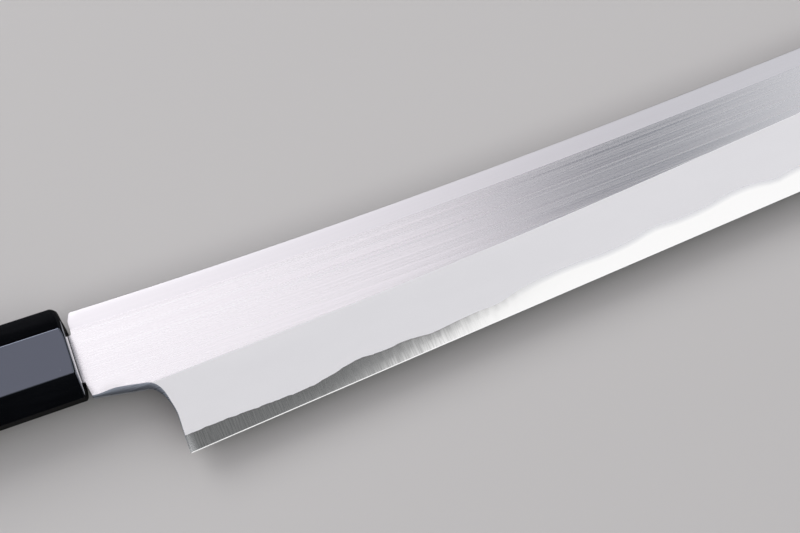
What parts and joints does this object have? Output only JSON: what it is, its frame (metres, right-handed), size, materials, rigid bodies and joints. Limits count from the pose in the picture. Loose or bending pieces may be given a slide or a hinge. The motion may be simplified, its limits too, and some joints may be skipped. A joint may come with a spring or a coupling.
{
  "type": "sakimaru takohiki knife",
  "caption": "Long slicing knife with one bevel, a hollow-ground back, an upswept point, an angled choil and an octagonal black handle with a horn ferrule.",
  "frame": {"origin": "middle of the box's underside, with the knife lying on its side and the bevel up", "axes": "+X along the handle's axis from the butt to the point, +Y from the edge to the spine, +Z from the hollow back to the bevel"},
  "size_m": [0.4638, 0.0538, 0.0198],
  "materials": {
    "iron": "soft iron: flat side brushed lengthwise to a satin, bevel honed to an even mist",
    "steel": "hard steel honed with fine scratches across the edge",
    "horn": "polished black buffalo horn",
    "ebony": "oiled ebony with a faint grain",
    "softwood": "plain magnolia",
    "resin": "black resin"
  },
  "bodies": {
    "root": {"blade_cladding": "iron", "edge_steel": "steel", "ferrule": "horn", "handle_body": "ebony", "tenon_core": "softwood", "tang_seal": "resin"}
  },
  "joints": []
}
